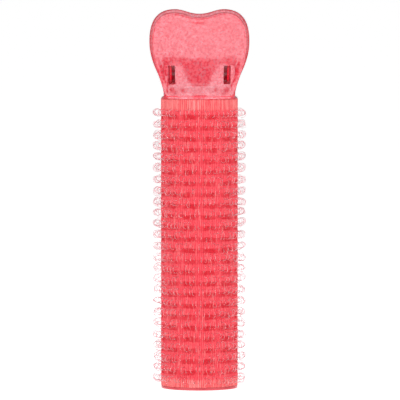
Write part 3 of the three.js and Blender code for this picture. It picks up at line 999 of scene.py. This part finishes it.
def tape():
    """The woven backing: a ribbed sleeve that stands out a little under each row of hooks."""
    columns = RIBS * RIB_SAMPLES
    z = np.arange(TAPE_BOTTOM, TAPE_TOP, ROW_PITCH / 5)
    z = np.append(z[z < TAPE_TOP - 0.2], TAPE_TOP)
    angle = np.arange(columns) * TURN / columns
    rng = np.random.default_rng(TAPE_SEED)
    marks = np.arange(0, columns, 3)
    uneven = np.interp(np.arange(columns), marks, rng.normal(0, 1, len(marks)))
    rib = 0.5 + 0.5 * np.cos(angle * RIBS)
    in_rows = (z > ROW_Z[0] - BAND_MARGIN) & (z < ROW_Z[-1] + BAND_MARGIN)
    band = np.where(in_rows, 0.5 + 0.5 * np.cos((z - ROW_Z[0] - BAND_RISE) * TURN / ROW_PITCH), SELVEDGE_BAND)
    radius = TAPE_R - RIB_HEIGHT - BAND_HEIGHT + RIB_HEIGHT * rib[None] + BAND_HEIGHT * band[:, None]
    radius = radius + UNEVEN_HEIGHT * uneven[None]
    rounding = np.minimum(z - z[0], z[-1] - z) < TAPE_EDGE
    radius[rounding] -= TAPE_EDGE_ROUND

    def ring(r, level):
        return np.column_stack([r * np.cos(angle), r * np.sin(angle), np.full(columns, level)])

    rings = [ring(r, level) for r, level in zip(radius, z)]
    for level in (z[-1] - TAPE_EDGE_ROUND, z[0] + TAPE_EDGE_ROUND):
        rings.append(ring(TAPE_R - TAPE_DEPTH, level))
    points = np.vstack(rings)
    count = len(rings)
    faces = []
    for k in range(count):
        a, b = k * columns, ((k + 1) % count) * columns
        faces.extend((a + i, a + (i + 1) % columns, b + (i + 1) % columns, b + i) for i in range(columns))
    sleeve = make_piece("tape_sleeve", points, faces, WEAVE)
    turn_outward(sleeve.data)
    finish_piece(sleeve, "tape_weave", "tape_backing")


LOOPS_PER_ROW = 55
LOOP_SAMPLES = 13
LOOP_SWEEP = math.radians(128)
# How much the loops differ: their place in the row, size, height, lift, tilt and sideways lean.
PLACE_SPREAD = 0.11
SIZE_SPREAD = 0.07
TALL_SPREAD = 0.1
LIFT_SPREAD = 0.12
TILT_SPREAD = 0.16
LEAN_SPREAD = 0.28
# A loop whose draw is below the first is cut at its top end, and above the second at its bottom end.
CUT_TOP_BELOW = 0.3
CUT_BOTTOM_ABOVE = 0.72
CUT_ANGLES = (35, 95)
ROOT_DEPTH = 0.15
ROOT_TUCK = 0.85
ROW_SEED = 200
FILAMENT_R = 0.08
FILAMENT_SIDES = 5
LOOP_ROOT_R = TAPE_R - 0.1


def hook_row(index):
    """One row of nylon loops, each each standing along the roller; more than half are cut open into hooks."""
    rng = np.random.default_rng(ROW_SEED + index)
    n = LOOPS_PER_ROW
    turn = (np.arange(n) + 0.25 * (index % 2) + rng.normal(0, PLACE_SPREAD, n)) * TURN / n
    turn += 0.5 * TURN / RIBS
    size = rng.normal(1.0, SIZE_SPREAD, n)
    reach = (HOOK_TIP_R - LOOP_ROOT_R) * np.clip(size, 0.8, 1.06)
    tall = rng.normal(1.0, TALL_SPREAD, n)
    lift = rng.normal(0, LIFT_SPREAD, n)
    tilt = rng.normal(0, TILT_SPREAD, n)
    lean = rng.normal(0, LEAN_SPREAD, n)
    kind = rng.random(n)
    start = np.full(n, -LOOP_SWEEP)
    end = np.full(n, LOOP_SWEEP)
    cut_top = kind < CUT_TOP_BELOW
    cut_bottom = kind > CUT_BOTTOM_ABOVE
    end[cut_top] = np.radians(rng.uniform(*CUT_ANGLES, cut_top.sum()))
    start[cut_bottom] = -np.radians(rng.uniform(*CUT_ANGLES, cut_bottom.sum()))
    t = np.linspace(0, 1, LOOP_SAMPLES)
    phi = start[:, None] + (end - start)[:, None] * t
    out = reach[:, None] * (0.5 + 0.5 * np.cos(phi))
    up = tall[:, None] * np.sin(phi)
    rooted_low, rooted_high = ~cut_bottom, ~cut_top
    out[rooted_low, 0] = -ROOT_DEPTH
    up[rooted_low, 0] *= ROOT_TUCK
    out[rooted_high, -1] = -ROOT_DEPTH
    up[rooted_high, -1] *= ROOT_TUCK
    turned_out = out * np.cos(tilt)[:, None] - up * np.sin(tilt)[:, None] * (out > 0)
    turned_up = up * np.cos(tilt)[:, None] + out * np.sin(tilt)[:, None]
    sideways = lean[:, None] * np.clip(out / reach[:, None], 0, 1) ** 1.4
    wobble = 0.15 * np.sin(2 * turn + index) + 0.1 * np.sin(5 * turn + 2.3 * index)
    away = np.stack([np.cos(turn), np.sin(turn), np.zeros(n)], axis=1)
    across = np.stack([-np.sin(turn), np.cos(turn), np.zeros(n)], axis=1)
    path = away[:, None] * (LOOP_ROOT_R + turned_out)[..., None] + across[:, None] * sideways[..., None]
    path[..., 2] = ROW_Z[index] + (wobble + lift)[:, None] + turned_up
    step = np.gradient(path, axis=1)
    step /= np.linalg.norm(step, axis=2)[..., None]
    normal = np.cross(across[:, None], step)
    normal /= np.linalg.norm(normal, axis=2)[..., None]
    other = np.cross(step, normal)
    angles = np.arange(FILAMENT_SIDES) * TURN / FILAMENT_SIDES
    ring = np.cos(angles)[:, None] * normal[:, :, None] + np.sin(angles)[:, None] * other[:, :, None]
    points = (path[:, :, None] + FILAMENT_R * ring).reshape(-1, 3)
    faces = []
    for loop in range(n):
        base = loop * LOOP_SAMPLES * FILAMENT_SIDES
        for k in range(LOOP_SAMPLES - 1):
            a = base + k * FILAMENT_SIDES
            for i in range(FILAMENT_SIDES):
                j = (i + 1) % FILAMENT_SIDES
                faces.append((a + i, a + j, a + FILAMENT_SIDES + j, a + FILAMENT_SIDES + i))
        last = base + (LOOP_SAMPLES - 1) * FILAMENT_SIDES
        faces.append(tuple(base + i for i in reversed(range(FILAMENT_SIDES))))
        faces.append(tuple(last + i for i in range(FILAMENT_SIDES)))
    name = ROWS[index].replace("hook_row", "nylon_hooks")
    row = make_piece(name, points, faces, HOOK)
    turn_outward(row.data)
    finish_piece(row, "hook_nylon", ROWS[index])


# ---- Camera, lights and floor ----
AIM = Vector((0.0002, 0, 0.0615))
EYE = Vector((0, -1.8, 0.158))
WORLD_LIGHT = 0.3
FLOOR_GLOW = 0.74
FLOOR_HALF_WIDTH = 12
# Each softbox's width and height.
SIDE_BOX = (0.66, 0.42)
TOP_BOX = (1.0, 0.5)
TOP_BOX_POWER = 1.9


def camera():
    data = bpy.data.cameras.new("camera")
    data.lens = 496
    data.sensor_width = 36
    data.clip_start = 0.05
    data.clip_end = 30
    eye = bpy.data.objects.new("camera", data)
    eye.location = EYE
    eye.rotation_mode = "QUATERNION"
    eye.rotation_quaternion = (AIM - EYE).to_track_quat("-Z", "Y")
    bpy.context.scene.collection.objects.link(eye)
    bpy.context.scene.camera = eye


def softbox(name, place, aim, width, height, power):
    light = bpy.data.lights.new(name, "AREA")
    light.shape = "RECTANGLE"
    light.size = width
    light.size_y = height
    light.energy = power
    lamp = bpy.data.objects.new(name, light)
    lamp.location = place
    lamp.rotation_mode = "QUATERNION"
    lamp.rotation_quaternion = (Vector(aim) - Vector(place)).to_track_quat("-Z", "Y")
    lamp.visible_camera = False
    bpy.context.scene.collection.objects.link(lamp)
    return lamp


def plane(name, corners, material):
    mesh = bpy.data.meshes.new(name)
    mesh.from_pydata(corners, [], [tuple(range(len(corners)))])
    mesh.materials.append(material)
    thing = bpy.data.objects.new(name, mesh)
    bpy.context.scene.collection.objects.link(thing)
    return thing


def floor_paper():
    """White paper that glows a little, so that it stays white round the object."""
    material, tree, shader, place = new_material("floor_paper")
    grain = noise(tree, place, 40.0, 3.0)
    set_shader(
        tree,
        shader,
        Base_Color=mix(tree, grain, (0.93, 0.93, 0.93, 1), (0.96, 0.96, 0.96, 1)),
        Roughness=0.9,
        Emission_Color=(1.0, 1.0, 1.0, 1),
        Emission_Strength=FLOOR_GLOW,
    )
    return material


def dark_card():
    """Matt dark card, lying in front of and behind the object where its plates look for a reflection."""
    material, tree, shader, place = new_material("dark_card")
    tone = noise(tree, place, 10.0, 2.0)
    colour = mix(tree, tone, (0.01, 0.01, 0.01, 1), (0.02, 0.02, 0.02, 1))
    set_shader(tree, shader, Base_Color=colour, Roughness=0.95)
    return material


# The dark cards' outlines on the floor. An oval is its half-width and its reach: the pale floor
# round the object ends at the first, the dark ring at the second, and its left wing at the third.
# STEM is the half-width and distance of each point of the card that runs on towards the camera.
PALE_OVAL = (0.138, 0.207)
RING_OVAL = (0.165, 0.240)
WING_OVAL = (0.300, 0.350)
STEM = [(0.112, 0.20), (0.112, 0.25), (0.195, 0.455), (0.213, 0.583), (0.27, 0.85)]


def oval_ring(near, far, start, end, side, steps=48):
    """Part of a flat oval ring on the floor, from one angle to another in degrees from straight ahead."""
    angles = np.radians(np.linspace(start, end, steps))
    inner = [(near[0] * math.sin(a), side * near[1] * math.cos(a), 0.001) for a in angles]
    outer = [(far[0] * math.sin(a), side * far[1] * math.cos(a), 0.001) for a in angles[::-1]]
    return inner + outer


def dark_cards():
    stem = [(x, -y, 0.002) for x, y in STEM] + [(-x, -y, 0.002) for x, y in reversed(STEM)]
    return [
        oval_ring(PALE_OVAL, RING_OVAL, -90, 75, -1),
        oval_ring(RING_OVAL, WING_OVAL, -90, -58, -1),
        stem,
        oval_ring(PALE_OVAL, (10, 10), -75, 75, 1),
    ]


def studio():
    world = bpy.data.worlds.new("studio")
    world.use_nodes = True
    background = world.node_tree.nodes["Background"]
    background.inputs["Color"].default_value = (1.0, 1.0, 1.0, 1)
    background.inputs["Strength"].default_value = WORLD_LIGHT
    bpy.context.scene.world = world
    size = FLOOR_HALF_WIDTH
    plane("floor", [(-size, -size, 0), (size, -size, 0), (size, size, 0), (-size, size, 0)], floor_paper())
    card = dark_card()
    centre = (0, 0, 0.1)
    for side, where, level in ((-1, "front", 1.0), (1, "back", 0.7)):
        boxes = [
            softbox(where + "_left_box", (-0.5, side * 0.557, 0.2), centre, *SIDE_BOX, level),
            softbox(where + "_right_box", (0.5, side * 0.557, 0.2), centre, *SIDE_BOX, level),
            softbox(where + "_top_box", (0, side * 0.6, 0.5), centre, *TOP_BOX, TOP_BOX_POWER * level),
        ]
        for lamp in boxes:
            lamp.visible_glossy = side < 0
    for number, corners in enumerate(dark_cards()):
        made = plane(f"dark_card_{number + 1}", corners, card)
        made.visible_camera = False
        made.visible_diffuse = False
        made.visible_shadow = False
        made.visible_transmission = False
    bpy.context.scene.view_settings.view_transform = "Standard"


camera()
studio()
barrel_core()
tape()
for number in range(len(ROWS)):
    hook_row(number)
clip_head()
clip_lever()
hinge_pin()
torsion_spring()

bpy.context.view_layer.update()
